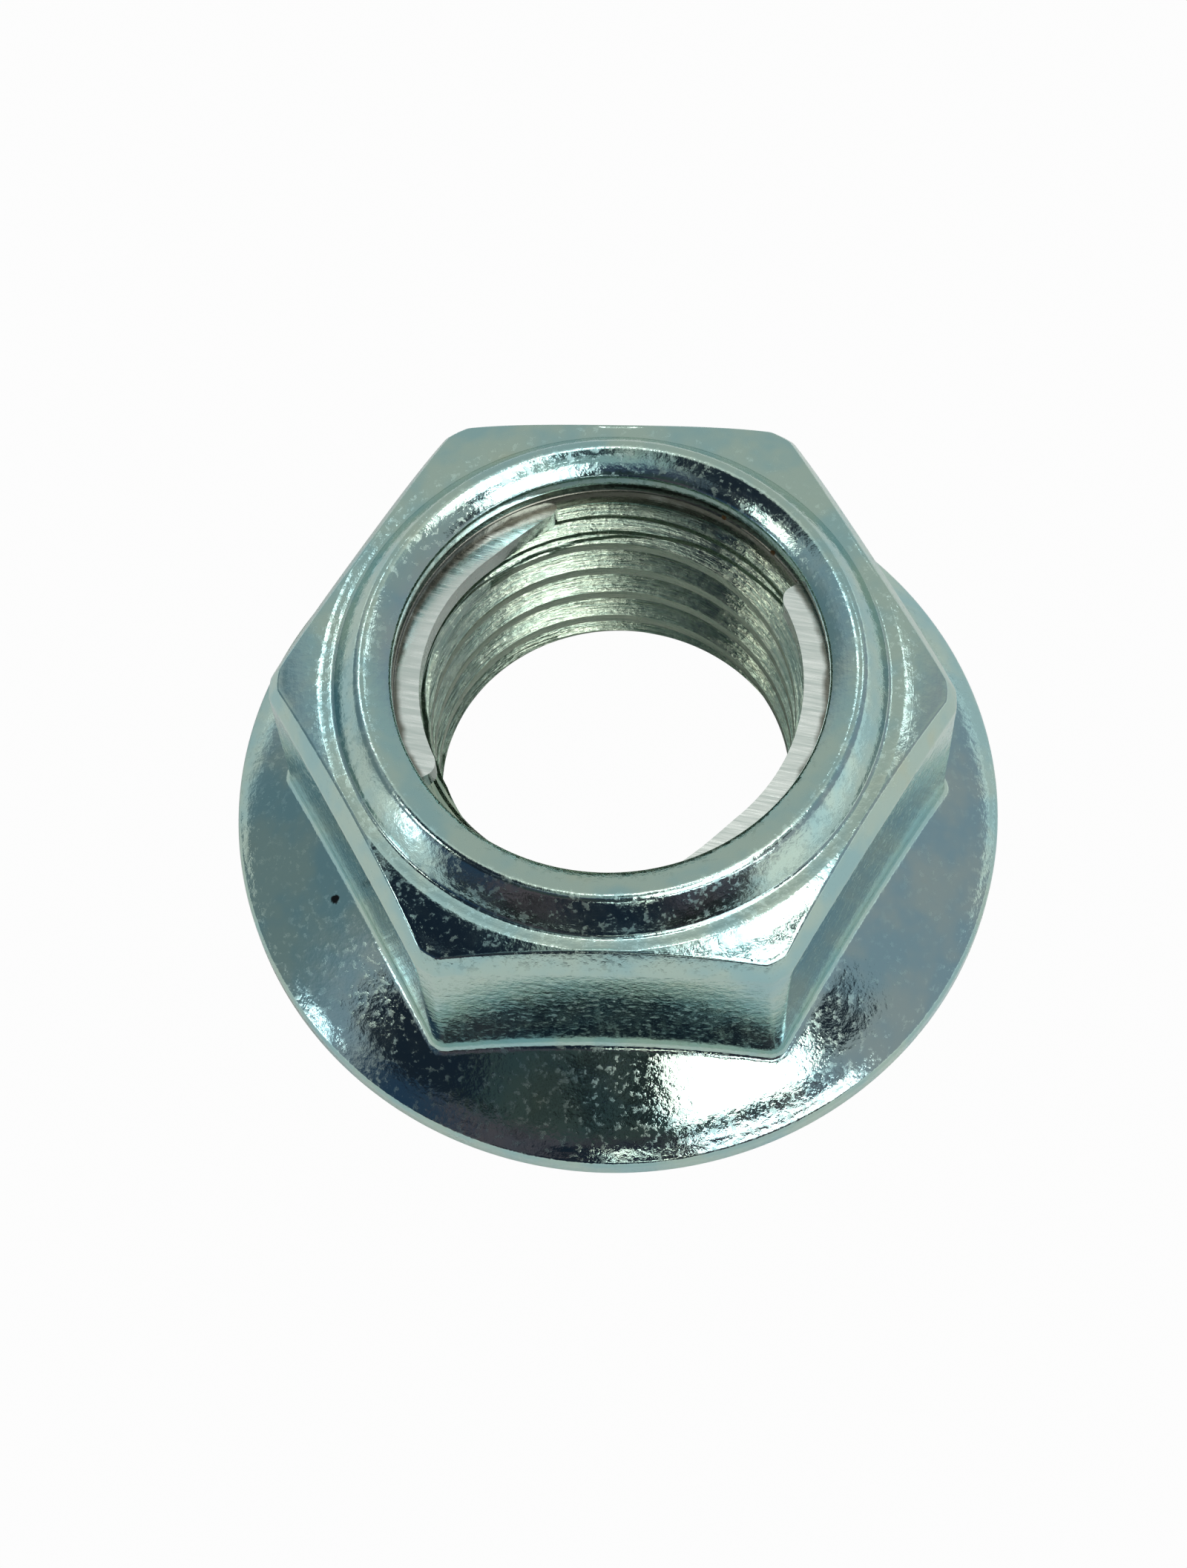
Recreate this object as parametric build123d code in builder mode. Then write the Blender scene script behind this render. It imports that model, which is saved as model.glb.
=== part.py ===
"""Prevailing-torque hexagon flange nut, M12 x 1.5, 17 mm across flats.

Two pieces: the cold-formed nut body, and the friction ring that is held under
the rolled lip of its collar. Millimetres, +Z along the thread axis, origin at
the centre of the bearing face. Two corners of the hexagon lie on the X axis.
"""
from build123d import *
from math import atan, cos, degrees, pi, radians, sqrt, tan
import os

# ---- driving dimensions, mm and degrees ----
thread_major_diameter = 12.0
thread_pitch = 1.5

flat_margin = 0.45  # from the collar's land to the flats; gives 17 mm across flats
hexagon_height = 9.05  # top of the hexagon at the foot of the collar
upright_edge_radius = 0.5  # on the six upright corner edges
top_cone_angle = 15.5  # fall of the hexagon's top towards its corners
top_edge_radius = 0.5  # between the top and the six flats
corner_lean_start = 0.3  # this far above the flange the corners begin to lean in ...
corner_lean_angle = 3.3  # ... by this angle

flange_diameter = 23.0
rim_height = 0.92  # where the upright rim would meet the flange's slope
rim_edge_radius = 0.3  # between the two
bearing_edge_chamfer = 0.1  # round the foot of the rim
flange_angle = 33.0  # slope of the flange's top
foot_chamfer = 0.2  # where the hexagon meets the flange

countersink_margin = 0.2  # from the bolt's thread to the countersink's rim
countersink_angle = 45.0

serration_count = 24
serration_depth = 0.3
serration_width = 1.3
serration_steep_width = 0.12
serration_inner_margin = 1.0  # flat land between countersink and grooves
serration_outer_margin = 0.9  # flat land between grooves and rim

collar_margin = 1.7  # from the bolt's thread to the collar's outside
collar_wall = 0.95
collar_rise = 1.125  # from the hexagon's top to where the collar's flank meets its crown
collar_land = 0.35  # flat ring round the foot of the collar
collar_foot_chamfer = 0.12
crest_inset = 0.77  # crest of the crown, in from the collar's outside
crest_radius = 0.35
flank_bulge = 0.07
crown_bulge = 0.04
lip_clearance = 0.05  # lip to the bolt's thread
lip_drop = 0.475  # lip's upper edge below that meeting
lip_thickness = 0.45
lip_slope_height = 0.26  # rise of the lip's underside from the ring seat's wall to the lip
lip_chamfer = 0.08

ring_thickness = 0.7
ring_clearance = 0.05  # friction ring to the collar's bore
ring_top_clearance = 0.02  # friction ring to the lip
ring_gap_clearance = 0.02  # friction ring's wide bore to the bolt's thread
tab_count = 2
tab_span = 104.0
tab_heading = 158.5  # middle of the first tab, counter-clockwise from +X
tab_bite = 0.71  # how far the tabs reach inside the bolt's thread
tab_drop = 0.05  # the higher tab below the ring's top face
tab_step = 0.25  # the lower tab below the higher one
tab_end_radius = 0.4
tab_root_width = 0.18  # tab material that runs out under the ring's wide bore
relief_clearance = 0.05  # tab root to the wall of the relief under the ring
relief_depth = 0.65
relief_cone_angle = 30.0

# ---- sizes that follow ----
thread_major_radius = thread_major_diameter / 2
thread_minor_radius = thread_major_radius - 5 / 8 * thread_pitch * sqrt(3) / 2
collar_radius = thread_major_radius + collar_margin
land_radius = collar_radius + collar_land
apothem = land_radius + flat_margin
sharp_corner_radius = apothem / cos(radians(30))
corner_radius = sharp_corner_radius - upright_edge_radius * (1 / cos(radians(30)) - 1)
clear_radius = sharp_corner_radius + 1.0
flange_radius = flange_diameter / 2
collar_height = hexagon_height + collar_rise
seat_radius = collar_radius - collar_wall
crest_circle_radius = collar_radius - crest_inset
lip_radius = thread_major_radius + lip_clearance
lip_top_height = collar_height - lip_drop
lip_under_height = lip_top_height - lip_thickness
ring_space_top = lip_under_height - lip_slope_height
ring_seat_height = ring_space_top - ring_top_clearance - ring_thickness
ring_outer_radius = seat_radius - ring_clearance
ring_gap_radius = thread_major_radius + ring_gap_clearance
tab_radius = thread_major_radius - tab_bite
tab_root_radius = ring_gap_radius + tab_root_width
relief_radius = tab_root_radius + relief_clearance
relief_floor = ring_seat_height - relief_depth
relief_cone_height = (relief_radius - thread_minor_radius) * tan(radians(relief_cone_angle))
countersink_radius = thread_major_radius + countersink_margin
countersink_lead = 0.5
countersink_depth = (countersink_radius - thread_minor_radius) * tan(radians(countersink_angle))
thread_end_height = relief_floor - relief_cone_height
inside_radius = land_radius - 1.0
collar_base = hexagon_height - 0.5
lead_angle = degrees(atan(thread_pitch / (pi * (tab_radius + tab_root_radius))))


def cone_height(radius):
    """Height of the hexagon's conical top at a distance from the axis."""
    return hexagon_height - (radius - land_radius) * tan(radians(top_cone_angle))


def flange_height(radius):
    """Height of the flange's conical top at a distance from the axis."""
    return rim_height + (flange_radius - radius) * tan(radians(flange_angle))


def radius_at(edge):
    """Distance of an edge's middle from the axis."""
    middle = edge @ 0.5
    return sqrt(middle.X**2 + middle.Y**2)


def on_cone_rim(edge):
    """True for the edges where the hexagon's conical top meets its sides."""
    middle = edge @ 0.5
    radius = radius_at(edge)
    return radius > apothem - 0.01 and abs(middle.Z - cone_height(radius)) < 0.01


def corner_at(corners, radius, height):
    """The corner of a half-section that lies nearest to this radius and height."""
    return corners.sort_by(lambda corner: abs(corner.X - radius) + abs(corner.Y - height))[0]


def on_flange_foot(edge):
    """True for the edges where the hexagon stands on the flange's cone."""
    middle = edge @ 0.5
    radius = radius_at(edge)
    beside_hexagon = apothem - 0.01 < radius < clear_radius
    return beside_hexagon and abs(middle.Z - flange_height(radius)) < 0.01


def tab_plane(heading, drop):
    """Underside of a tab: turned to its heading, tilted along the thread's lead, lowered by the drop."""
    turned = Location((0, 0, ring_seat_height - drop), (0, 0, heading))
    return Plane(turned * Location((0, 0, 0), (lead_angle, 0, 0)))


# ---- hexagon: its top falls to the corners, its edge is rounded, its corners lean in ----
lean_start_height = flange_height(corner_radius) + corner_lean_start
lean_foot_radius = corner_radius + lean_start_height * tan(radians(corner_lean_angle))
lean_top_radius = lean_foot_radius - hexagon_height * tan(radians(corner_lean_angle))

with BuildPart() as hexagon:
    with BuildSketch(Plane.XY.offset(rim_height)):
        RegularPolygon(radius=apothem, side_count=6, major_radius=False)
        fillet(vertices(), radius=upright_edge_radius)
    extrude(amount=hexagon_height - rim_height)
    with BuildSketch(Plane.XZ):
        Polygon(
            (0, 0),
            (clear_radius, 0),
            (clear_radius, cone_height(clear_radius)),
            (land_radius, hexagon_height),
            (0, hexagon_height),
            align=None,
        )
    revolve(axis=Axis.Z, mode=Mode.INTERSECT)
    fillet(edges().filter_by(on_cone_rim), radius=top_edge_radius)
    with BuildSketch(Plane.XZ):
        Polygon(
            (0, 0),
            (lean_foot_radius, 0),
            (lean_top_radius, hexagon_height),
            (0, hexagon_height),
            align=None,
        )
    revolve(axis=Axis.Z, mode=Mode.INTERSECT)

# ---- one groove of the serrated bearing face: steep on the side that resists loosening ----
groove_start = countersink_radius + serration_inner_margin
groove_length = flange_radius - serration_outer_margin - groove_start
half_width = serration_width / 2

with BuildPart() as groove:
    with BuildSketch(Plane(origin=(groove_start, 0, 0), x_dir=(0, 1, 0), z_dir=(1, 0, 0))):
        Polygon(
            (-half_width, -serration_depth),
            (-half_width, 0),
            (serration_steep_width - half_width, serration_depth),
            (half_width, 0),
            (half_width, -serration_depth),
            align=None,
        )
    extrude(amount=groove_length)

# ---- nut body: flange, hexagon and rolled collar in one cold-formed piece ----
with BuildPart() as nut_body:
    with BuildSketch(Plane.XZ):
        Polygon(
            (0, 0),
            (flange_radius, 0),
            (flange_radius, rim_height),
            (inside_radius, flange_height(inside_radius)),
            (0, flange_height(inside_radius)),
            align=None,
        )
        fillet(corner_at(vertices(), flange_radius, rim_height), radius=rim_edge_radius)
        chamfer(corner_at(vertices(), flange_radius, 0), length=bearing_edge_chamfer)
    revolve(axis=Axis.Z)
    add(hexagon.part)
    chamfer(edges().filter_by(on_flange_foot), length=foot_chamfer)

    # the way through: countersink, thread bore, relief and the friction ring's seat
    with BuildSketch(Plane.XZ):
        Polygon(
            (0, -countersink_lead),
            (countersink_radius + countersink_lead, -countersink_lead),
            (thread_minor_radius, countersink_depth),
            (thread_minor_radius, thread_end_height),
            (relief_radius, relief_floor),
            (relief_radius, ring_seat_height),
            (seat_radius, ring_seat_height),
            (seat_radius, collar_height),
            (0, collar_height),
            align=None,
        )
    revolve(axis=Axis.Z, mode=Mode.SUBTRACT)

    # collar: its flank bulges out, its crest is rolled over inward and ends as a thin lip
    with BuildSketch(Plane.XZ):
        with BuildLine():
            seat = Line((seat_radius, collar_base), (land_radius, collar_base))
            land = Polyline(seat @ 1, (land_radius, hexagon_height), (collar_radius, hexagon_height))
            flank = SagittaArc(land @ 1, (crest_circle_radius, collar_height), -flank_bulge)
            crown = SagittaArc(flank @ 1, (lip_radius, lip_top_height), -crown_bulge)
            lip = Line(crown @ 1, (lip_radius, lip_under_height))
            Polyline(lip @ 1, (seat_radius, ring_space_top), seat @ 0)
        make_face()
        fillet(corner_at(vertices(), crest_circle_radius, collar_height), radius=crest_radius)
        chamfer(corner_at(vertices(), collar_radius, hexagon_height), length=collar_foot_chamfer)
        chamfer(corner_at(vertices(), lip_radius, lip_top_height), length=lip_chamfer)
    revolve(axis=Axis.Z)

    with PolarLocations(0, serration_count):
        add(groove.part, mode=Mode.SUBTRACT)

# ---- friction ring: flat washer with two tabs, each tilted along the thread's lead ----
# The tabs stand inside the bolt's thread at two heights, so they clamp it when it climbs through.
with BuildPart() as friction_ring:
    with BuildSketch(Plane.XY.offset(ring_seat_height)):
        Circle(radius=ring_outer_radius)
        Circle(radius=ring_gap_radius, mode=Mode.SUBTRACT)
    extrude(amount=ring_thickness)
    for number in range(tab_count):
        heading = tab_heading + number * 360 / tab_count
        drop = tab_drop + (tab_count - 1 - number) * tab_step
        with BuildSketch(tab_plane(heading, drop)):
            with BuildLine():
                root = CenterArc((0, 0), tab_root_radius, -tab_span / 2, tab_span)
                edge = CenterArc((0, 0), tab_radius, -tab_span / 2, tab_span)
                Line(root @ 0, edge @ 0)
                Line(root @ 1, edge @ 1)
            make_face()
            inner_corners = vertices().filter_by(lambda corner: corner.center().length < ring_gap_radius)
            fillet(inner_corners, radius=tab_end_radius)
        extrude(amount=ring_thickness)

os.makedirs("parts", exist_ok=True)
nut_body.part.label = "nut_body"
friction_ring.part.label = "friction_ring"
export_step(nut_body.part, "parts/nut_body.step")
export_step(friction_ring.part, "parts/friction_ring.step")
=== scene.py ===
# %% [markdown]
# A flange nut that resists loosening. A cold-formed steel body carries a round
# flange, a hexagon and a rolled collar, and the collar holds a thin spring ring
# whose two tabs grip the bolt. The solids come from the frame. This script dresses
# them: one skin for the body, one climbing ridge for its thread, one skin for the ring.

# %% Load the frame
import bpy
import numpy as np
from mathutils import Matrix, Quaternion, Vector


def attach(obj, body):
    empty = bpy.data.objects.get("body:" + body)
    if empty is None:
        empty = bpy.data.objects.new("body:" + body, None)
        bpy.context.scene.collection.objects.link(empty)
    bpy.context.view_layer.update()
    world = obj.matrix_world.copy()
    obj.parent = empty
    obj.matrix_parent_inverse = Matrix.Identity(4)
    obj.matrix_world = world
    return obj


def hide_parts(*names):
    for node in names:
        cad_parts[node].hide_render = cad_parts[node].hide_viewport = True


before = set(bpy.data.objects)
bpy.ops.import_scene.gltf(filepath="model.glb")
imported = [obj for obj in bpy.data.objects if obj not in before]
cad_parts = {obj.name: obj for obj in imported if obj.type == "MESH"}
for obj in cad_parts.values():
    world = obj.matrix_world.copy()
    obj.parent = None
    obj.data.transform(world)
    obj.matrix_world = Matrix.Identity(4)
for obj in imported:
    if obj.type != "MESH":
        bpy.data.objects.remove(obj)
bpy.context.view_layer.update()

# %% [markdown]
# The nut's own sizes, in millimetres. They are the ones a toolmaker would put on the
# drawing, and every surface below is worked out from them. Millimetres keep the
# formulas readable: only the function that fills a mesh turns them into metres.

# %% Sizes on the drawing
thread_radius = 6.0
pitch = 1.5
core_radius = thread_radius - 5 / 8 * pitch * np.sqrt(3) / 2
apothem = 8.5
hexagon_height = 9.12
corner_rounding = 0.5
corner_cone_radius, corner_cone_angle, corner_soft = 9.81, np.radians(1.2), 0.03
top_slope, top_droop = np.radians(12), 0.13
land_radius = 8.10
flange_radius = 11.5
rim_inner, rim_height = 11.35, 0.92
flange_slope = np.radians(33.0)
droop_start, droop_rate = 10.4, 0.15
lip_radius, lip_height = 6.05, 9.70
seat_radius, seat_height, seat_roof = 6.75, 8.27, 8.99
relief_radius, relief_floor = 6.25, 7.62
bore_radius = thread_radius + 0.02
countersink_radius = 6.2
print("thread core radius:", round(core_radius, 3), "mm")

# %% [markdown]
# Nearly every surface of the nut goes once round the axis, so the natural grid has
# angle along one side and a walk round the half-section along the other. A lathe
# profile would do for the collar, but the hexagon and the grooves change with the
# angle, so every row holds its own radius, height and angle for every column.
#
# The columns aren't even. Under the flange they fall on the edges of the grooves.
# Round the hexagon they crowd at the six corners, where the surface turns quickly.

# %% Angles round the axis
groove_count = 24
groove_width, groove_steep, groove_depth = 1.3, 0.12, 0.3
groove_start, groove_end = 7.2, 10.6
groove_middle = (groove_start + groove_end) / 2
half_share = 180 / groove_count
edge_angle = np.degrees(groove_width / 2 / groove_middle)
steep_angle = edge_angle - np.degrees(groove_steep / groove_middle)


def groove_columns():
    """Angles in one groove's share of the circle, from minus to plus half a share."""
    before = np.linspace(-half_share, -edge_angle, 5)[:-1]
    steep = np.array([-edge_angle, -steep_angle])
    ramp = np.linspace(-steep_angle, edge_angle, 12)[1:]
    after = np.linspace(edge_angle, half_share, 5)[1:-1]
    return np.concatenate([before, steep, ramp, after])


share = groove_columns()
groove_headings = np.arange(groove_count) * 360 / groove_count
groove_phi = np.radians((groove_headings[:, None] + share[None, :]).ravel())
from_groove = np.tile(share, groove_count)
even = np.radians(np.arange(len(groove_phi)) * 360 / len(groove_phi) - half_share)
corner_crowding = 0.7
phi = even - corner_crowding / 6 * np.sin(6 * even)
columns = len(phi)
print("columns:", columns)

# %% [markdown]
# A few small tools carry the rest of the lesson. The first fills a mesh, the second
# joins rows into a closed skin, the third turns a grid of radii, heights and angles
# into points. The last two draw a smooth bend between two points of a half-section:
# once for every angle alike, and once with points of its own in every column.

# %% Tools for surfaces
def fill(name, points, faces):
    """Object from points in millimetres and faces of four corners each."""
    mesh = bpy.data.meshes.new(name)
    mesh.vertices.add(len(points))
    mesh.vertices.foreach_set("co", (points * 0.001).astype(np.float32).ravel())
    mesh.loops.add(faces.size)
    mesh.loops.foreach_set("vertex_index", faces.astype(np.int32).ravel())
    mesh.polygons.add(len(faces))
    mesh.polygons.foreach_set("loop_start", np.arange(0, faces.size, 4, dtype=np.int32))
    mesh.update(calc_edges=True)
    mesh.validate()
    mesh.shade_smooth()
    mesh.set_sharp_from_angle(angle=np.radians(42))
    piece = bpy.data.objects.new(name, mesh)
    bpy.context.scene.collection.objects.link(piece)
    print(name, "faces:", len(mesh.polygons))
    return piece


def band(rows, columns, start=0):
    """Faces of a grid that is closed both ways: the last row and column join the first."""
    row = np.arange(rows)[:, None]
    column = np.arange(columns)[None, :]
    next_row, next_column = (row + 1) % rows, (column + 1) % columns
    corners = [row * columns + column, row * columns + next_column]
    corners += [next_row * columns + next_column, next_row * columns + column]
    return start + np.stack(np.broadcast_arrays(*corners), axis=-1).reshape(-1, 4)


def round_axis(radius, height, angle):
    """Points (radius * cos(angle), radius * sin(angle), height) of a grid, one after another."""
    x, y = radius * np.cos(angle), radius * np.sin(angle)
    return np.stack(np.broadcast_arrays(x, y, height), axis=-1).reshape(-1, 3)


def bend(start, corner, end, count):
    """Curve that leaves start towards corner and arrives at end from it.

    point = start * (1 - t)^2 + corner * 2 t (1 - t) + end * t^2, for t from 0 to 1.
    """
    t = np.linspace(0, 1, count)[:, None]
    start, corner, end = np.array(start), np.array(corner), np.array(end)
    return (1 - t) ** 2 * start + 2 * t * (1 - t) * corner + t**2 * end


def bend_columns(corners, count):
    """The same curve drawn in every column at once, with its first row left out."""
    t = np.linspace(0, 1, count)[1:, None]
    (r0, z0), (r1, z1), (r2, z2) = corners
    r = (1 - t) ** 2 * r0 + 2 * t * (1 - t) * r1 + t**2 * r2
    z = (1 - t) ** 2 * z0 + 2 * t * (1 - t) * z1 + t**2 * z2
    return r, z


# %% [markdown]
# The bearing face is flat, with shallow ratchet grooves pressed into it. Each groove
# drops steeply on one side and climbs slowly on the other, so its edge bites when the
# nut tries to turn back. The grooves have parallel sides, so the columns that follow
# them crowd together towards the rim: inside a groove the angle is scaled by
# middle radius / radius. Past the grooves' ends the scaling stays as it is there.

# %% Bearing face
end_wall = 0.01
tightest, loosest = 0.84, 1.24
face_radii = np.array([
    countersink_radius + 0.04, 6.7, groove_start - end_wall, groove_start, 8.1,
    9.0, 9.8, groove_end, groove_end + end_wall, 11.0, 11.38,
])
face_grooved = (face_radii >= groove_start) & (face_radii <= groove_end)


def groove_profile(offset_angle):
    """Groove depth: rises over the steep width, then falls in a straight line to nothing."""
    climb = (offset_angle + edge_angle) / (edge_angle - steep_angle)
    fall = (edge_angle - offset_angle) / (edge_angle + steep_angle)
    return groove_depth * np.clip(np.minimum(climb, fall), 0, 1)


face_r = np.repeat(face_radii[:, None], columns, axis=1)
face_z = np.where(face_grooved[:, None], groove_profile(from_groove)[None, :], 0.0)
crowding = np.clip(groove_middle / face_radii, tightest, loosest)[:, None]
inside = np.clip(from_groove, -edge_angle, edge_angle)[None, :]
outside = from_groove[None, :] - inside
room = (half_share - edge_angle * crowding) / (half_share - edge_angle)
shifted = inside * crowding + outside * room
face_phi = groove_phi[None, :] + np.radians(shifted - from_groove[None, :])
print("bearing face rows:", len(face_radii))

# %% [markdown]
# The rim is upright and rounded off above. Over its rows the columns drift from the
# grooves' angles to the hexagon's, which is safe there because a circle looks the same
# wherever its points lie.

# %% Rim
rim = np.concatenate([
    np.array([[flange_radius, 0.1], [flange_radius, 0.22], [flange_radius, 0.36], [flange_radius, 0.5]]),
    bend((flange_radius, 0.58), (flange_radius, 0.755), (rim_inner, 0.861), 8),
])
drift = np.linspace(0, 1, len(rim))[:, None]
rim_r = np.repeat(rim[:, :1], columns, axis=1)
rim_z = np.repeat(rim[:, 1:], columns, axis=1)
rim_phi = groove_phi[None, :] * (1 - drift) + phi[None, :] * drift

# %% [markdown]
# The flange is a cone that falls outwards and droops near its rim, where the metal
# flowed last: cone - rate * (radius - start)^2. The hexagon stands on it, and the line
# where they meet rises and falls, because the flats are nearer to the axis than the
# corners. The hexagon's section is a six-sided figure with rounded corners, written in
# polar form: apothem / cos(angle) along a flat, and a circle's far crossing at a
# corner. Forging never quite fills the upper corners, so a steep cone trims them, and
# the side is the smaller of the two radii. A smooth minimum keeps the new edges soft:
# (a + b - sqrt((a - b)^2 + k^2)) / 2.

# %% Flange and hexagon
from_flat = phi % np.radians(60) - np.radians(30)


def flange_height(radius):
    """Height of the flange's top: a cone that falls outwards and droops near the rim."""
    droop = droop_rate * np.maximum(radius - droop_start, 0) ** 2
    return rim_height + (flange_radius - radius) * np.tan(flange_slope) - droop


def cone_height(radius):
    """Height of the hexagon's top: it falls from the land to the corners, ever more steeply."""
    beyond = np.maximum(radius - land_radius, 0)
    return hexagon_height - beyond * np.tan(top_slope) - top_droop * beyond**2


def hexagon_radius():
    """Distance from the axis to the hexagon's side at each angle."""
    centre = (apothem - corner_rounding) / np.cos(np.radians(30))
    beside = np.radians(30) - np.abs(from_flat)
    square = corner_rounding**2 - (centre * np.sin(beside)) ** 2
    corner = centre * np.cos(beside) + np.sqrt(np.maximum(square, 0))
    tangent = np.arctan((apothem - corner_rounding) * np.tan(np.radians(30)) / apothem)
    return np.where(np.abs(from_flat) < tangent, apothem / np.cos(from_flat), corner)


def wall_radius(height):
    """Side of the hexagon, trimmed at its corners by a cone that leans in a little."""
    side = hexagon_radius()
    lean = corner_cone_radius - height * np.tan(corner_cone_angle)
    return (side + lean - np.sqrt((side - lean) ** 2 + corner_soft**2)) / 2


foot_radius = hexagon_radius()
for _ in range(12):
    foot_radius = wall_radius(flange_height(foot_radius))
foot_height = flange_height(foot_radius)
print("foot of the hexagon, mm:", round(foot_height.min(), 2), "to", round(foot_height.max(), 2))

# %% [markdown]
# The rows now climb from the rim to the sides. The foot line itself is found by going
# round in a circle a few times: the side tells the radius, the flange tells the
# height there, and the height changes the side a little. A small fillet joins the
# two, drawn as a bend from the flange through the foot line to the side.

# %% Rows of the flange, the foot and the sides
foot_reach = 0.28
edge_slope, edge_soft, rim_soft = np.radians(62.0), 0.1, 0.07
band_width, band_loss, band_level = 0.38, 0.12, 8.35
slope_share = np.linspace(0, 1, 16)[1:, None]
toe_radius = foot_radius + foot_reach * np.cos(flange_slope)
slope_r = rim_inner + (toe_radius - rim_inner) * slope_share
slope_z = flange_height(slope_r)
top_of_foot = foot_height + foot_reach
fillet = [
    (toe_radius, flange_height(toe_radius)),
    (foot_radius, foot_height),
    (wall_radius(top_of_foot), top_of_foot),
]
foot_r, foot_z = bend_columns(fillet, 7)

to_corner = np.abs(from_flat) / np.radians(30)
top_inset = (band_width - band_loss * to_corner**2) / np.cos(from_flat)
edge_r = wall_radius(band_level) - top_inset
edge_z = cone_height(edge_r)
chamfer_z = edge_z - top_inset * np.tan(edge_slope)
shoulder = chamfer_z - edge_soft
side_z = top_of_foot + (shoulder - top_of_foot) * np.linspace(0, 1, 9)[1:, None]
side_r = wall_radius(side_z)
print("sides end at, mm:", round(shoulder.min(), 2), "to", round(shoulder.max(), 2))

# %% [markdown]
# Between the sides and the shallow top runs a narrow, steep band, left where the
# forging die closes. Both its edges are soft. The band is drawn column by column as
# two bends with a straight run between them, and its width shrinks towards the
# corners. The top falls outwards ever more steeply, so the corners look turned down.
# Round the foot of the collar a flat ring, the land, is left. At the middle of each
# flat the land reaches the band, and the rows in between crowd into a thin line.
# The upper bend ends a hair off the top's own curve, so the top's rows start from
# that height and the difference fades on the way in.

# %% Rows of the band, the top and the land
inward, upward = np.cos(edge_slope), np.sin(edge_slope)
low_turn = [
    (side_r[-1], shoulder),
    (side_r[-1], chamfer_z),
    (side_r[-1] - edge_soft * inward, chamfer_z + edge_soft * upward),
]
high_turn = [
    (edge_r + rim_soft * inward, edge_z - rim_soft * upward),
    (edge_r, edge_z),
    (edge_r - rim_soft * np.cos(top_slope), edge_z + rim_soft * np.sin(top_slope)),
]

low_r, low_z = bend_columns(low_turn, 7)
high_r, high_z = bend_columns(high_turn, 8)
roll_r = np.concatenate([low_r, high_turn[0][0][None, :], high_r])
roll_z = np.concatenate([low_z, high_turn[0][1][None, :], high_z])
cone_share = np.linspace(0, 1, 11)[1:, None]
thinnest_top = 0.03
land_edge = np.minimum(land_radius, roll_r[-1] - thinnest_top)
cone_r = roll_r[-1] + (land_edge - roll_r[-1]) * cone_share
lift = (roll_z[-1] - cone_height(roll_r[-1])) * (1 - cone_share)
cone_z = cone_height(cone_r) + lift

# %% [markdown]
# The collar is turned, so its rows are the same at every angle. Its flank bulges a
# little, the crest is tight, and the crown falls inward to a thin lip. Below the lip
# are the ring's seat, a relief, and the plain bore that the thread stands on.

# %% Collar, lip, seat and bore
collar_turns = [
    np.array([[7.98, hexagon_height], [7.92, hexagon_height]]),
    bend((7.80, 9.12), (7.70, 9.125), (7.655, 9.20), 6),
    bend((7.655, 9.20), (7.43, 9.58), (7.10, 10.0), 11)[1:],
    bend((7.10, 10.0), (6.946, 10.191), (6.728, 10.105), 13)[1:],
    bend((6.728, 10.105), (6.40, 9.975), (6.12, 9.765), 9)[1:],
    bend((6.12, 9.765), (lip_radius, lip_height), (lip_radius, 9.61), 6)[1:],
    bend((lip_radius, 9.33), (lip_radius, 9.25), (6.13, 9.22), 4),
    np.array([[seat_radius, seat_roof], [seat_radius, 8.63], [seat_radius, seat_height]]),
    np.array([[6.5, seat_height], [relief_radius, seat_height], [relief_radius, 7.95]]),
    np.array([[relief_radius, relief_floor], [bore_radius, 7.487], [bore_radius, 5.6]]),
    np.array([[bore_radius, 3.8], [bore_radius, 2.0], [bore_radius, 0.33], [countersink_radius, 0.02]]),
]
collar = np.concatenate(collar_turns)
collar_r = np.repeat(collar[:, :1], columns, axis=1)
collar_z = np.repeat(collar[:, 1:], columns, axis=1)
print("collar rows:", len(collar))

# %% [markdown]
# The rows follow one another from the bearing face up the outside, over the collar and
# down the bore, where the last row meets the first. So the skin closes on itself. It
# takes the place of the frame's nut_body and rides on the one body, root.

# %% Join the rows into the nut body
body_r = np.concatenate([face_r, rim_r, slope_r, foot_r, side_r, roll_r, cone_r, collar_r])
body_z = np.concatenate([face_z, rim_z, slope_z, foot_z, side_z, roll_z, cone_z, collar_z])
body_phi = np.repeat(phi[None, :], len(body_r), axis=0)
body_phi[: len(face_r)] = face_phi
body_phi[len(face_r) : len(face_r) + len(rim_r)] = rim_phi
nut = fill("nut", round_axis(body_r, body_z, body_phi), band(len(body_r), columns))
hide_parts("nut_body")
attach(nut, "root")

# %% [markdown]
# The thread is the one surface that climbs. It is a ridge of the bolt thread's form:
# flanks at 60 degrees to each other, a narrow flat on the crest, and a foot that is
# sunk in the wall of the bore. The ridge is a section swept along a helix:
# height = start + pitch * angle / full turn. The countersink and the relief cut both
# ends of the thread with cones, so each point's radius is the larger of the section's
# and the cones', and where a cone wins the ridge runs out of sight into the wall.
# Out of sight its points are squeezed together but never onto each other, so no face
# collapses.

# %% Thread
def squeeze(values, low, high):
    """Values kept close to low..high: nearest + (value - nearest) / 50."""
    nearest = np.clip(values, low, high)
    return nearest + (values - nearest) * 0.02


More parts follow.
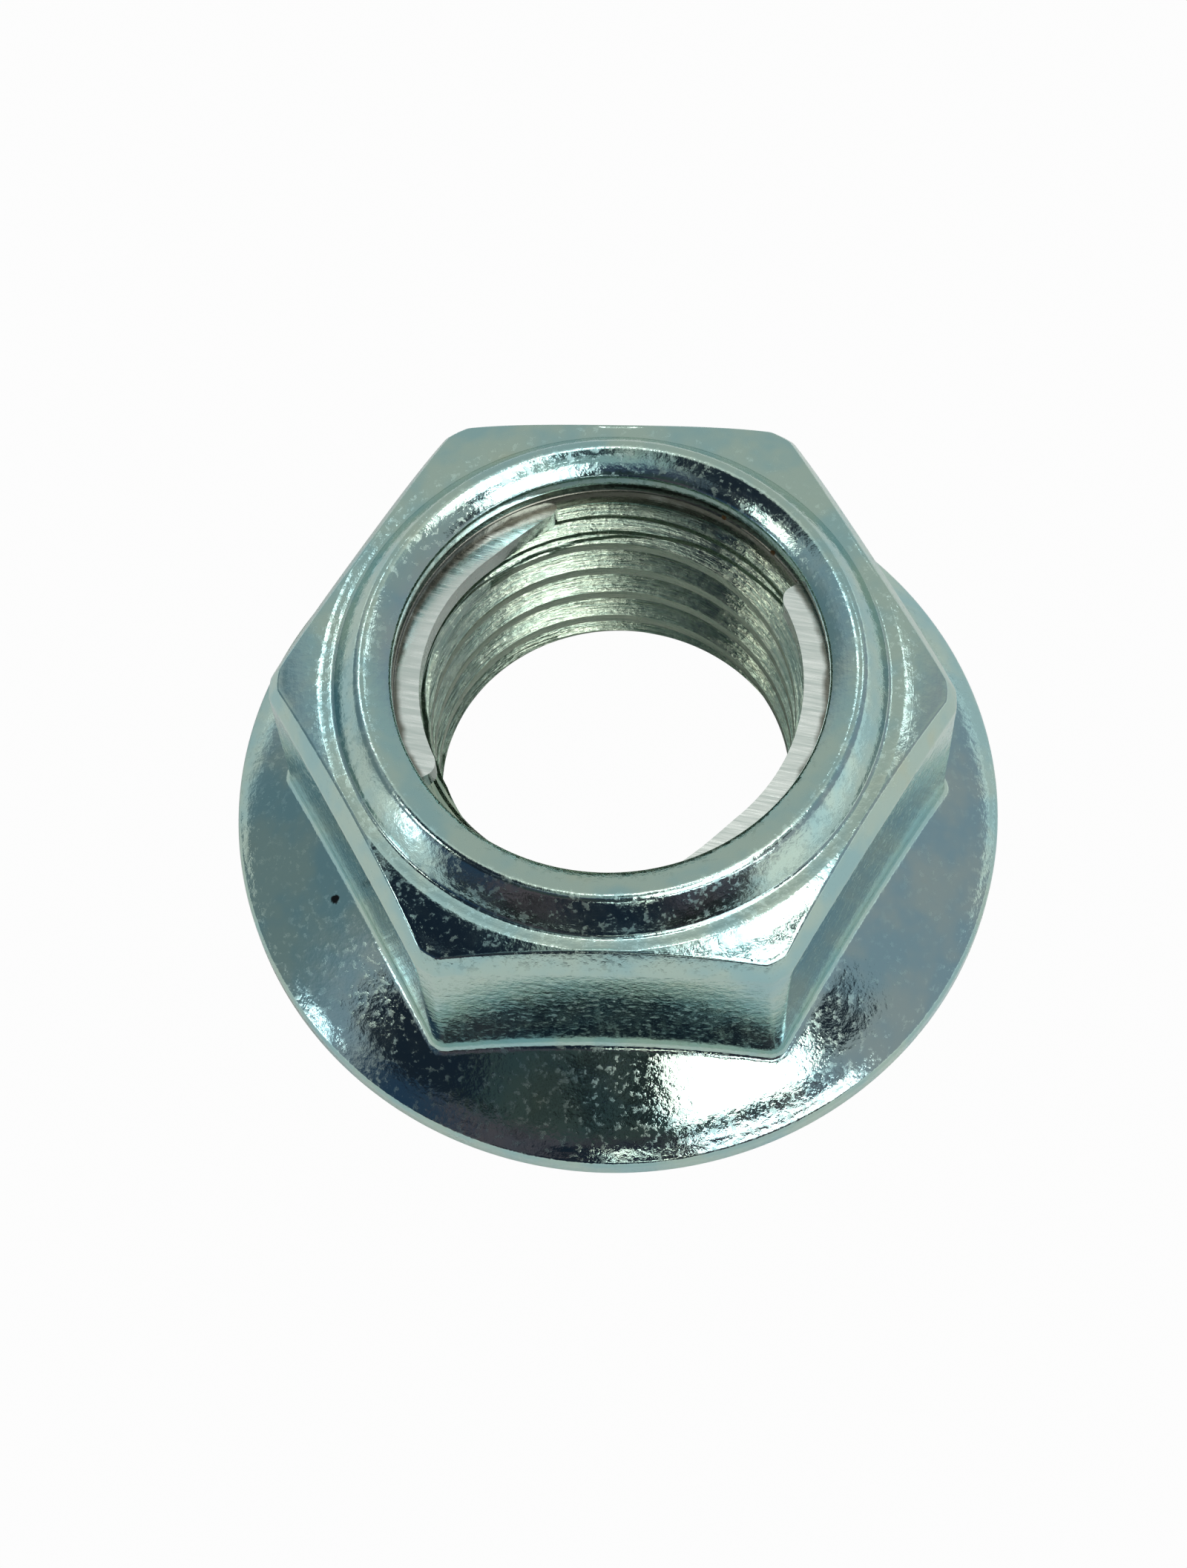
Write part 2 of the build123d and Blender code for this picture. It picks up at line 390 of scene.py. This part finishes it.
crest_at = 0.805
first_turn, last_turn, points_per_turn = -0.9, 5.5, 200
sunk = 0.04
hidden_radius = 6.28
ridge_low, ridge_high = 0.06, 8.1
runout_start, runout_angle = 7.45, np.radians(16)
mouth_radius, mouth_angle = countersink_radius + 0.02, np.radians(30)
flank = np.tan(np.radians(30))
foot_half = pitch / 8 + (bore_radius + sunk - core_radius) * flank
crest_half = pitch / 8
crest_soft = 0.05
half_section = np.array([
    [foot_half + 0.1, hidden_radius - 0.02],
    [foot_half, bore_radius + sunk],
    [crest_half + crest_soft * flank * 4, core_radius + crest_soft * 4],
    [crest_half + crest_soft * flank, core_radius + crest_soft],
    [crest_half + crest_soft * 0.2, core_radius + crest_soft * 0.25],
    [crest_half - crest_soft, core_radius],
])
mirrored = half_section[::-1] * np.array([-1, 1])
ridge_section = np.concatenate([half_section, mirrored])
helix = np.arange(first_turn, last_turn, 1 / points_per_turn) * 2 * np.pi
ridge_z = crest_at + pitch * helix[None, :] / (2 * np.pi) + ridge_section[:, :1]
ridge_r = np.repeat(ridge_section[:, 1:], len(helix), axis=1)
relief_cone = core_radius + (ridge_z - runout_start) / np.tan(runout_angle)
countersink_cone = mouth_radius - ridge_z * np.tan(mouth_angle)
ridge_r = squeeze(np.maximum(ridge_r, np.maximum(relief_cone, countersink_cone)), 0, hidden_radius)
ridge_z = squeeze(ridge_z, ridge_low, ridge_high)
full_start = (mouth_radius - core_radius) / np.tan(mouth_angle)
print("full thread turns:", round((runout_start - full_start) / pitch, 1))


def strip(around, along, start=0):
    """Faces of a tube: closed round its section, a cap of four-corner faces at each end."""
    i = np.arange(around)[:, None]
    j = np.arange(along - 1)[None, :]
    corners = [i * along + j, i * along + j + 1]
    corners += [(i + 1) % around * along + j + 1, (i + 1) % around * along + j]
    sides = np.stack(np.broadcast_arrays(*corners), axis=-1).reshape(-1, 4)
    half = np.arange(around // 2 - 1)
    cap = np.stack([half, half + 1, around - 2 - half, around - 1 - half], axis=-1) * along
    return start + np.concatenate([sides, cap, cap[:, ::-1] + along - 1])


ridge_points = round_axis(ridge_r, ridge_z, helix[None, :])
ridge = fill("thread", ridge_points, strip(len(ridge_section), len(helix)))

# %% [markdown]
# The thread's finish is streaked along the helix, so each point of the ridge carries
# a measure of its own: core radius * angle along the thread, and the sum of the
# section's sides up to the point across it.

# %% Measure along the thread
section_across = np.cumsum(np.hypot(*np.diff(ridge_section, axis=0, prepend=ridge_section[:1]).T))
helix_along = helix[None, :] * core_radius
grain = np.stack(np.broadcast_arrays(helix_along, section_across[:, None], 0.0), axis=-1)
ridge.data.attributes.new("grain", "FLOAT_VECTOR", "POINT")
ridge.data.attributes["grain"].data.foreach_set("vector", grain.astype(np.float32).ravel())
print("thread's length along the helix, mm:", round(float(helix_along[0, -1] - helix_along[0, 0]), 1))
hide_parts("nut_body")
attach(ridge, "root")

# %% [markdown]
# The spring ring is a thin washer, and its two tabs reach inward over the thread. Each
# tab is tilted along the thread's lead, and one lies lower than the other, so a bolt
# that climbs through has to push them apart. Washer and tabs are made of one section,
# a rectangle with rounded corners, carried round the axis.

# %% Spring ring
ring_bottom, ring_thick, ring_edge = 8.27, 0.7, 0.06
washer_inner, washer_outer = 6.02, 6.70
tab_inner, tab_outer, tab_span = 5.29, 6.20, np.radians(104.0)
lead = pitch / (np.pi * (tab_inner + tab_outer))


def rectangle(inner, outer, low, high):
    """Radius and height round a rectangle with rounded corners, anticlockwise."""
    quarter = np.linspace(0, np.pi / 2, 4)
    left, right = inner + ring_edge, outer - ring_edge
    bottom, top = low + ring_edge, high - ring_edge
    centres = [(right, bottom, -np.pi / 2), (right, top, 0)]
    centres += [(left, top, np.pi / 2), (left, bottom, np.pi)]
    r = [x + ring_edge * np.cos(start + turn) for x, _, start in centres for turn in quarter]
    z = [y + ring_edge * np.sin(start + turn) for _, y, start in centres for turn in quarter]
    return np.array(r)[:, None], np.array(z)[:, None]


washer_phi = np.linspace(0, 2 * np.pi, 180, endpoint=False)
washer_r, washer_z = rectangle(washer_inner, washer_outer, ring_bottom, ring_bottom + ring_thick)
washer_points = round_axis(washer_r, washer_z, washer_phi[None, :])
print("washer rows:", len(washer_r))

# %% [markdown]
# A tab's inner edge ends in a rounded corner on one side. On the other it runs out in
# a long taper with a small rounded heel, as the punch left it. The taper sets the edge
# back by depth * (1 - distance / length)^1.6.

# %% Tabs
tip_radius, heel_radius = 0.4, 0.25
taper_depth, taper_length, taper_power = 0.5, 2.3, 1.6
tab_columns = 90


def rounded_end(distance, radius):
    """Set-back at a distance from the end: radius - sqrt(radius^2 - (radius - distance)^2)."""
    reach = radius - np.minimum(distance, radius)
    return radius - np.sqrt(np.maximum(radius**2 - reach**2, 0))


def tab_points(heading, drop):
    """Points of one tab: the section carried along an arc, drawn back at both ends.

    Height rises with lead * radius * sin(angle from the tab's middle).
    """
    share = (1 - np.cos(np.linspace(0, np.pi, tab_columns))) / 2
    angle = (share - 0.5) * tab_span
    from_low = share * tab_span * tab_inner
    from_high = (1 - share) * tab_span * tab_inner
    tip = rounded_end(from_high, tip_radius)
    taper = taper_depth * np.clip(1 - from_low / taper_length, 0, 1) ** taper_power
    heel = rounded_end(from_low, heel_radius)
    inner = tab_inner + tip + taper + heel
    r, z = rectangle(0, 1, 0, ring_thick)
    across = np.clip((r - ring_edge) / (1 - 2 * ring_edge), 0, 1)
    r = inner + ring_edge + (tab_outer - inner - 2 * ring_edge) * across
    z = ring_bottom - drop + z + lead * r * np.sin(angle)
    return round_axis(r, z, angle + np.radians(heading))


low_tab = tab_points(heading=158.5, drop=0.30)
high_tab = tab_points(heading=338.5, drop=0.05)
around = len(washer_r)
ring_points = np.concatenate([washer_points, low_tab, high_tab])
ring_faces = [band(around, len(washer_phi))]
ring_faces.append(strip(around, tab_columns, len(washer_points)))
ring_faces.append(strip(around, tab_columns, len(washer_points) + len(low_tab)))
ring = fill("spring_ring", ring_points, np.concatenate(ring_faces))
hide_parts("friction_ring")
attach(ring, "root")

# %% [markdown]
# A closed skin whose faces all point outwards has a positive volume, which is the sum
# of a . (b x c) / 6 over its triangles. A negative one would mean it is inside out.

# %% Report how the skins close
def volume(piece):
    """Signed volume in cubic millimetres: positive when the faces point outwards."""
    mesh = piece.data
    mesh.calc_loop_triangles()
    points = np.empty(len(mesh.vertices) * 3)
    mesh.vertices.foreach_get("co", points)
    points = points.reshape(-1, 3) * 1000
    corners = np.empty(len(mesh.loop_triangles) * 3, dtype=np.int32)
    mesh.loop_triangles.foreach_get("vertices", corners)
    a, b, c = (points[corners.reshape(-1, 3)[:, k]] for k in range(3))
    return np.einsum("ij,ij->i", a, np.cross(b, c)).sum() / 6


for piece in (nut, ridge, ring):
    print(piece.name, "volume:", round(volume(piece), 1), "cubic millimetres")

# %% [markdown]
# Every finish below is worked out from where a point lies on the part, in metres, so
# it stays put when the camera or the part moves. Short helpers keep the recipes
# readable. They add a node, do arithmetic, turn a range of values into a soft step,
# blend colours, measure the distance from the axis, stretch a pattern, make a cloudy
# one, and raise or sink the surface.

# %% Tools for finishes
def put(tree, kind, **sockets):
    """Add a node; each named socket takes a number, a colour or another node's output."""
    node = tree.nodes.new("ShaderNode" + kind)
    for name, value in sockets.items():
        socket = node.inputs[name.replace("_", " ")]
        if isinstance(value, bpy.types.NodeSocket):
            tree.links.new(value, socket)
        else:
            socket.default_value = value
    return node


def sum_up(tree, operation, *values):
    """Arithmetic on numbers and outputs: the named operation on the values in order."""
    node = tree.nodes.new("ShaderNodeMath")
    node.operation = operation
    for socket, value in zip(node.inputs, values):
        if isinstance(value, bpy.types.NodeSocket):
            tree.links.new(value, socket)
        else:
            socket.default_value = value
    return node.outputs[0]


def ease(tree, value, low, high, start=0.0, end=1.0):
    """Soft step: start below low, end above high, an S-shaped rise between them."""
    node = put(tree, "MapRange", Value=value, From_Min=low, From_Max=high, To_Min=start, To_Max=end)
    node.interpolation_type = "SMOOTHSTEP"
    return node.outputs[0]


def blend(tree, factor, first, second):
    """Colour between first and second."""
    node = tree.nodes.new("ShaderNodeMix")
    node.data_type = "RGBA"
    for index, value in ((0, factor), (6, first), (7, second)):
        if isinstance(value, bpy.types.NodeSocket):
            tree.links.new(value, node.inputs[index])
        else:
            node.inputs[index].default_value = value
    return node.outputs[2]


def axis_distance(tree, axes):
    """Distance from the nut's axis: sqrt(x^2 + y^2)."""
    squares = [sum_up(tree, "MULTIPLY", axes[k], axes[k]) for k in (0, 1)]
    return sum_up(tree, "SQRT", sum_up(tree, "ADD", *squares))


def stretch(tree, place, x, y, z):
    """Position scaled along each axis, so that a pattern read from it is drawn out."""
    node = put(tree, "VectorMath")
    node.operation = "MULTIPLY"
    tree.links.new(place, node.inputs[0])
    node.inputs[1].default_value = (x, y, z)
    return node.outputs[0]


def cloud(tree, place, scale, detail, roughness=0.5):
    """Soft random pattern, about 1 / scale metres across."""
    node = put(tree, "TexNoise", Vector=place, Scale=scale, Detail=detail, Roughness=roughness)
    return node.outputs[0]


def relief(tree, height, depth, under=None):
    """Bump of a given depth in metres, laid over another bump if there is one."""
    node = put(tree, "Bump", Height=height, Distance=depth, Strength=1.0)
    if under is not None:
        tree.links.new(under, node.inputs["Normal"])
    return node.outputs[0]


# %% [markdown]
# The body is plated with bright zinc and dipped in a thin clear-blue passivation. It
# is nearly a mirror, but not a flat one: plating follows the forged surface under it,
# which has an orange-peel texture about half a millimetre across, and shallow pits
# about a fifth of a millimetre across. The pits are duller than the metal round them,
# so dark reflections look mottled. The film's thickness varies, so the grey drifts
# between blue-green and straw.
#
# Two marks of the tools show through. The land and the collar were turned, and the
# lines depend only on the distance from the axis. The sides carry faint level lines,
# which could be the print of the die's own finish, so their pattern is long across and
# fine in height. Each pattern is multiplied by a soft step in height that keeps it
# where it belongs. Last come two specks of dirt on the left: places nearer to a point
# than a ragged distance.

# %% Zinc plating: where the patterns lie
zinc = bpy.data.materials.new("zinc plating")
zinc.use_nodes = True
tree = zinc.node_tree
shader = tree.nodes["Principled BSDF"]
shader.inputs["Metallic"].default_value = 1.0
place = put(tree, "TexCoord").outputs["Object"]
axes = put(tree, "SeparateXYZ", Vector=place).outputs
from_axis = axis_distance(tree, axes)
turned = ease(tree, axes[2], 0.00888, 0.00899)
above_foot = ease(tree, axes[2], 0.0029, 0.0034)
below_top = ease(tree, axes[2], 0.0091, 0.0088)
on_sides = sum_up(tree, "MULTIPLY", above_foot, below_top)
peel = cloud(tree, place, 2000, 2.0, 0.5)
pits = cloud(tree, place, 4600, 3.0, 0.6)
die_marks = cloud(tree, stretch(tree, place, 500, 500, 6000), 1.0, 3.0, 0.6)
line_noise = tree.nodes.new("ShaderNodeTexNoise")
line_noise.noise_dimensions = "1D"
line_noise.inputs["Scale"].default_value = 14000
line_noise.inputs["Detail"].default_value = 2.0
tree.links.new(from_axis, line_noise.inputs["W"])
lines = line_noise.outputs[0]
print("zinc patterns:", "peel, pits, die marks, turned lines")

# %% Zinc plating: colour, gloss and relief
blue_green, grey_green = (0.40, 0.61, 0.63, 1), (0.53, 0.67, 0.61, 1)
straw, soot = (0.62, 0.64, 0.48, 1), (0.03, 0.03, 0.03, 1)
film = cloud(tree, place, 420, 3.0, 0.6)
tint = blend(tree, ease(tree, film, 0.35, 0.6), blue_green, grey_green)
tint = blend(tree, ease(tree, film, 0.62, 0.8, 0.0, 0.5), tint, straw)
dirt = [(-8.09, -4.12, 2.49, 0.17), (-6.4, -5.92, 8.3, 0.08)]
for x, y, z, size in dirt:
    gap = put(tree, "VectorMath", Vector=place)
    gap.operation = "DISTANCE"
    gap.inputs[1].default_value = (x * 0.001, y * 0.001, z * 0.001)
    ragged = sum_up(tree, "MULTIPLY_ADD", pits, 0.0002, gap.outputs["Value"])
    edge = size * 0.001 + 0.0001
    speck = ease(tree, ragged, edge * 0.8, edge, 1.0, 0.0)
    tint = blend(tree, speck, tint, soot)
tree.links.new(tint, shader.inputs["Base Color"])

haze = ease(tree, cloud(tree, place, 700, 4.0, 0.6), 0.4, 0.75, 0.04, 0.12)
haze = sum_up(tree, "ADD", haze, sum_up(tree, "MULTIPLY", turned, 0.05))
haze = sum_up(tree, "ADD", haze, ease(tree, pits, 0.53, 0.63, 0.0, 0.2))
tree.links.new(haze, shader.inputs["Roughness"])

normal = relief(tree, peel, 0.000008)
normal = relief(tree, sum_up(tree, "MULTIPLY", die_marks, on_sides), 0.0000015, normal)
normal = relief(tree, sum_up(tree, "MULTIPLY", lines, turned), 0.0000015, normal)
normal = relief(tree, pits, 0.0000095, normal)
tree.links.new(normal, shader.inputs["Normal"])
nut.data.materials.append(zinc)

# %% [markdown]
# The thread was rolled by a forming tap before plating. The tap drags the metal along
# the helix, so the surface is duller than outside and streaked along the thread. The
# pattern reads the ridge's own measure, in millimetres, and is stretched along it.
# Where the thread runs out in the upper cone, the last turns leave shallow steps: a
# saw-tooth of the distance from the axis, the fraction of distance / step.

# %% Plated thread
olive, pale_olive = (0.36, 0.47, 0.39, 1), (0.54, 0.62, 0.50, 1)
thread_zinc = bpy.data.materials.new("plated thread")
thread_zinc.use_nodes = True
tree = thread_zinc.node_tree
shader = tree.nodes["Principled BSDF"]
shader.inputs["Metallic"].default_value = 1.0
place = put(tree, "TexCoord").outputs["Object"]
measure = tree.nodes.new("ShaderNodeAttribute")
measure.attribute_name = "grain"
dragged = cloud(tree, stretch(tree, measure.outputs["Vector"], 0.7, 14, 1), 1.0, 3.0, 0.6)
torn = cloud(tree, stretch(tree, measure.outputs["Vector"], 3, 5, 1), 1.0, 3.0, 0.6)
dull = blend(tree, ease(tree, dragged, 0.35, 0.65), olive, pale_olive)
tree.links.new(dull, shader.inputs["Base Color"])
tree.links.new(ease(tree, torn, 0.35, 0.7, 0.12, 0.30), shader.inputs["Roughness"])
axes = put(tree, "SeparateXYZ", Vector=place).outputs
from_axis = axis_distance(tree, axes)
steps_per_metre = 2400.0
steps = sum_up(tree, "FRACT", sum_up(tree, "MULTIPLY", from_axis, steps_per_metre))
on_runout = ease(tree, axes[2], 0.00744, 0.0075)
steps = sum_up(tree, "MULTIPLY", ease(tree, steps, 0.0, 0.3), on_runout)
normal = relief(tree, dragged, 0.00003)
normal = relief(tree, torn, 0.00002, normal)
normal = relief(tree, steps, 0.00012, normal)
tree.links.new(normal, shader.inputs["Normal"])
ridge.data.materials.append(thread_zinc)
print("steps of the run-out, mm:", round(1000 / steps_per_metre, 2))

# %% [markdown]
# The ring is cut from bright spring steel strip. Rolling leaves fine parallel lines,
# all in one direction, because the ring was stamped from a flat strip. The strip lay
# a little askew to the hexagon, so the position is turned by ten degrees first, and
# the pattern is then stretched hard along X. Outwards, under the lip, a painted shade
# turns the steel dark brown, and the bare steel has begun to rust in a few pinpoints.

# %% Spring steel
grey_steel, white_steel = (0.80, 0.88, 0.86, 1), (0.95, 0.99, 0.97, 1)
# The first brown is painted shade under the lip; the second is real rust.
lip_shade_brown, rust_brown = (0.10, 0.09, 0.06, 1), (0.16, 0.09, 0.04, 1)
strip_angle = np.radians(10)
steel = bpy.data.materials.new("spring steel")
steel.use_nodes = True
tree = steel.node_tree
shader = tree.nodes["Principled BSDF"]
shader.inputs["Metallic"].default_value = 1.0
place = put(tree, "TexCoord").outputs["Object"]
slanted = put(tree, "VectorRotate", Vector=place, Angle=strip_angle).outputs[0]
rolled = cloud(tree, stretch(tree, slanted, 450, 8000, 8000), 1.0, 3.0, 0.65)
patches = cloud(tree, place, 900, 3.0, 0.6)
rust = put(tree, "TexVoronoi", Vector=place, Scale=1500)
specks = ease(tree, rust.outputs["Distance"], 0.1, 0.16, 1.0, 0.0)
specks = sum_up(tree, "MULTIPLY", specks, ease(tree, patches, 0.56, 0.6))
bright = blend(tree, ease(tree, rolled, 0.3, 0.7), grey_steel, white_steel)
axes = put(tree, "SeparateXYZ", Vector=place).outputs
from_axis = axis_distance(tree, axes)
# Painted shade: outwards, under the lip, the steel is darkened to brown along a ragged edge.
uneven = sum_up(tree, "MULTIPLY_ADD", patches, 0.0004, from_axis)
painted_lip_shade = ease(tree, uneven, 0.00602, 0.00622, 0.0, 0.85)
bright = blend(tree, painted_lip_shade, bright, lip_shade_brown)
tree.links.new(blend(tree, specks, bright, rust_brown), shader.inputs["Base Color"])
scuffed = ease(tree, rolled, 0.35, 0.7, 0.14, 0.30)
scuffed = sum_up(tree, "MAXIMUM", scuffed, sum_up(tree, "MULTIPLY", specks, 0.8))
tree.links.new(scuffed, shader.inputs["Roughness"])
normal = relief(tree, rolled, 0.000006)
normal = relief(tree, patches, 0.000002, normal)
tree.links.new(normal, shader.inputs["Normal"])
ring.data.materials.append(steel)
print("rolling lines lie", round(np.degrees(strip_angle)), "degrees askew")

# %% [markdown]
# A mirror shows the room more than itself, so the studio matters as much as the
# finish. The nut lies on white paper. Behind it the sheet sweeps up, above it hangs
# grey diffuse light, and in front, under the camera, the room is dark. The camera
# sees an even pale floor. To everything else the sheet is plain paper close to the
# nut and opens further off, where the room takes over. Two more openings let the nut
# be looked at from below: the sheet is clear when seen from underneath, and light
# passes through it under the flange.

# %% Floor
reach = 3000.0
floor_points = np.array([[-reach, -reach, 0], [reach, -reach, 0], [reach, reach, 0], [-reach, reach, 0]])
floor = fill("floor", floor_points, np.array([[0, 1, 2, 3]]))
paper = bpy.data.materials.new("white paper")
paper.use_nodes = True
tree = paper.node_tree
shader = tree.nodes["Principled BSDF"]
shader.inputs["Base Color"].default_value = (0.88, 0.88, 0.87, 1)
shader.inputs["Roughness"].default_value = 0.9
shader.inputs["Specular IOR Level"].default_value = 0.2
place = put(tree, "TexCoord").outputs["Object"]
tooth = cloud(tree, place, 4000, 3.0, 0.6)
tree.links.new(relief(tree, tooth, 0.00002), shader.inputs["Normal"])
far_node = put(tree, "VectorMath", Vector=place)
far_node.operation = "LENGTH"
far = far_node.outputs["Value"]
under_flange = sum_up(tree, "MULTIPLY", ease(tree, far, 0.0062, 0.0066), ease(tree, far, 0.0112, 0.0108))
open_sheet = sum_up(tree, "MAXIMUM", ease(tree, far, 0.045, 0.08), under_flange)
sheet = put(tree, "MixShader", Fac=open_sheet)
tree.links.new(shader.outputs[0], sheet.inputs[1])
tree.links.new(put(tree, "BsdfTransparent").outputs[0], sheet.inputs[2])
glow = put(tree, "Emission", Color=(1, 1, 1, 1), Strength=0.98)
upper = put(tree, "MixShader", Fac=put(tree, "NewGeometry").outputs["Backfacing"])
tree.links.new(glow.outputs[0], upper.inputs[1])
tree.links.new(put(tree, "BsdfTransparent").outputs[0], upper.inputs[2])
seen = put(tree, "MixShader", Fac=put(tree, "LightPath").outputs["Is Camera Ray"])
tree.links.new(sheet.outputs[0], seen.inputs[1])
tree.links.new(upper.outputs[0], seen.inputs[2])
tree.links.new(seen.outputs[0], tree.nodes["Material Output"].inputs["Surface"])
floor.data.materials.append(paper)

# %% [markdown]
# The room is a recipe over directions. A direction's z is the sine of its height
# above the horizon, and its dot product with a chosen direction is the cosine of the
# angle between them. Soft steps over the two draw the room in three layers: the wall,
# from white paper at the horizon to a grey ceiling; the dusk in front, a dark sector
# broken by vague shapes; and a few dark spots laid over both. The camera itself sees
# plain white behind the nut.

# %% Room
world = bpy.data.worlds.new("studio")
world.use_nodes = True
bpy.context.scene.world = world
tree = world.node_tree
ray = put(tree, "TexCoord").outputs["Generated"]


def toward(azimuth, elevation):
    """Direction with this compass angle and height above the horizon, in degrees."""
    a, e = np.radians(azimuth), np.radians(elevation)
    return np.array([np.cos(e) * np.cos(a), np.cos(e) * np.sin(a), np.sin(e)])


def near(azimuth, elevation, inner, outer):
    """Round patch of directions: 1 within the inner angle, 0 beyond the outer one."""
    node = tree.nodes.new("ShaderNodeVectorMath")
    node.operation = "DOT_PRODUCT"
    tree.links.new(ray, node.inputs[0])
    node.inputs[1].default_value = tuple(toward(azimuth, elevation))
    return ease(tree, node.outputs["Value"], np.cos(np.radians(outer)), np.cos(np.radians(inner)))


def tone(red, green, blue, strength=1.0):
    """Colour of light of a given strength."""
    return (red * strength, green * strength, blue * strength, 1.0)


rise = put(tree, "SeparateXYZ", Vector=ray).outputs[2]
shapes = cloud(tree, stretch(tree, ray, 9, 9, 5), 1.0, 2.0, 0.6)
wall = blend(tree, ease(tree, rise, 0.0, 0.09), tone(0.97, 1.0, 0.96, 0.95), tone(0.86, 0.90, 1.0, 0.42))
wall = blend(tree, ease(tree, rise, 0.45, 0.75), wall, tone(0.80, 0.92, 1.0, 0.42))
wall = blend(tree, ease(tree, rise, 0.80, 0.92), wall, tone(0.86, 1.0, 0.94, 0.52))
wall = blend(tree, near(92, 70, 8, 30), wall, tone(1.0, 1.0, 0.94, 0.82))
wall = blend(tree, near(172, 14, 14, 32), wall, tone(0.72, 0.92, 1.0, 0.27))
wall = blend(tree, near(90, 25, 38, 58), wall, tone(0.94, 1.0, 0.95, 0.52))
dusk = blend(tree, ease(tree, rise, -0.1, 0.08), tone(0.7, 0.9, 1.0, 0.02), tone(1.0, 0.76, 0.92, 0.11))
dusk = blend(tree, ease(tree, rise, 0.42, 0.55), dusk, tone(0.75, 1.0, 1.0, 0.07))
dusk = blend(tree, ease(tree, shapes, 0.5, 0.62, 0.0, 0.8), dusk, tone(0.7, 0.9, 1.0, 0.012))
dusk = blend(tree, ease(tree, rise, 0.70, 0.78), dusk, tone(0.5, 0.6, 1.0, 0.10))
dusk = blend(tree, near(-145, 15, 10, 26), dusk, tone(0.3, 0.55, 1.0, 0.10))
in_front = sum_up(tree, "MULTIPLY", near(-95, 10, 46, 58), ease(tree, rise, 0.80, 0.90, 1.0, 0.0))
light = blend(tree, in_front, wall, dusk)
dark_spots = [(-158, 64, 12, 20), (-27, 57, 2, 5), (-28, 40, 4, 9)]
dark_spots += [(-80, 75, 3, 8), (-142, 38, 10, 17), (-88, 9, 12, 24)]
spot_tone = tone(0.4, 0.6, 1.0, 0.035)
for spot in dark_spots:
    light = blend(tree, near(*spot), light, spot_tone)
print("dark spots in the room:", len(dark_spots))

mirrored_room = put(tree, "Background", Color=light, Strength=1.0)
plain_back = put(tree, "Background", Color=(0.95, 0.95, 0.95, 1), Strength=1.0)
choice = put(tree, "MixShader", Fac=put(tree, "LightPath").outputs["Is Camera Ray"])
tree.links.new(mirrored_room.outputs[0], choice.inputs[1])
tree.links.new(plain_back.outputs[0], choice.inputs[2])
tree.links.new(choice.outputs[0], tree.nodes["World Output"].inputs["Surface"])
tree.nodes.remove(tree.nodes["Background"])

# %% [markdown]
# The lamps are softboxes, each an oblong sheet of light that faces the nut from a
# little over half a metre away. A box's size comes from the angle that it fills:
# width = 2 * distance * tan(angle / 2). Its power is the brightness wanted, times its
# area, times pi.

# %% Lamps
lamp_distance = 0.6


def softbox(name, azimuth, elevation, width, height, turn, brightness, colour=(1.0, 1.0, 1.0)):
    """Area light that fills width by height degrees of the nut's view, turned about its aim."""
    data = bpy.data.lights.new(name, "AREA")
    data.shape = "RECTANGLE"
    data.size = 2 * lamp_distance * np.tan(np.radians(width / 2))
    data.size_y = 2 * lamp_distance * np.tan(np.radians(height / 2))
    data.energy = brightness * np.pi * data.size * data.size_y
    data.color = colour
    lamp = bpy.data.objects.new(name, data)
    lamp.location = toward(azimuth, elevation) * lamp_distance
    lamp.rotation_mode = "QUATERNION"
    aim = (-lamp.location).to_track_quat("-Z", "Y")
    lamp.rotation_quaternion = aim @ Quaternion((0, 0, 1), np.radians(turn))
    bpy.context.scene.collection.objects.link(lamp)
    return lamp


warm, cool = (1.0, 0.97, 0.86), (0.92, 0.98, 1.0)
softbox("right window", -56, 47, 28, 27, -10, 3.6, (1.0, 1.0, 0.94))
softbox("low window", -54, 20, 36, 8, -19, 3.0, cool)
softbox("left lamp", -161, 43, 12, 12, 0, 3.5, warm)
softbox("left doorway", -158, 4, 7, 18, 4, 2.6, cool)
softbox("low strip", -84, 17, 16, 5, -22, 2.0, warm)
softbox("top lamp", -18, 70, 18, 15, 0, 4.0)
softbox("ceiling strip", 60, 86, 14, 6, 0, 3.0)
softbox("back right lamp", 44, 52, 14, 6, 0, 1.8, cool)
softbox("back left lamp", 132, 57, 18, 8, 0, 2.2, cool)
print("lamps:", len(bpy.data.lights))

# %% [markdown]
# The camera looks down on the nut from in front, about 66 degrees above the floor,
# and is turned a little about its own line of sight. The tones are left as they are
# rendered, so white paper stays white.

# %% Camera
roll = np.radians(-3.879)
stand_point = Vector((2.704, -36.030, 82.505)) * 0.001
aim_point = Vector((-0.544, -1.389, 5.0)) * 0.001
camera_data = bpy.data.cameras.new("camera")
camera_data.lens = 67.75
camera_data.sensor_width = 36
camera_data.clip_start = 0.001
camera_data.clip_end = 20
camera = bpy.data.objects.new("camera", camera_data)
camera.location = stand_point
camera.rotation_mode = "QUATERNION"
facing = (aim_point - stand_point).to_track_quat("-Z", "Y")
camera.rotation_quaternion = facing @ Quaternion((0, 0, 1), roll)
bpy.context.scene.collection.objects.link(camera)
bpy.context.scene.camera = camera
bpy.context.scene.view_settings.view_transform = "Standard"
print("camera stands", round(1000 * stand_point.length, 1), "mm from the bearing face")

# %% [markdown]
# Last, the view layer is brought up to date.

# %% Update, and the end
bpy.context.view_layer.update()
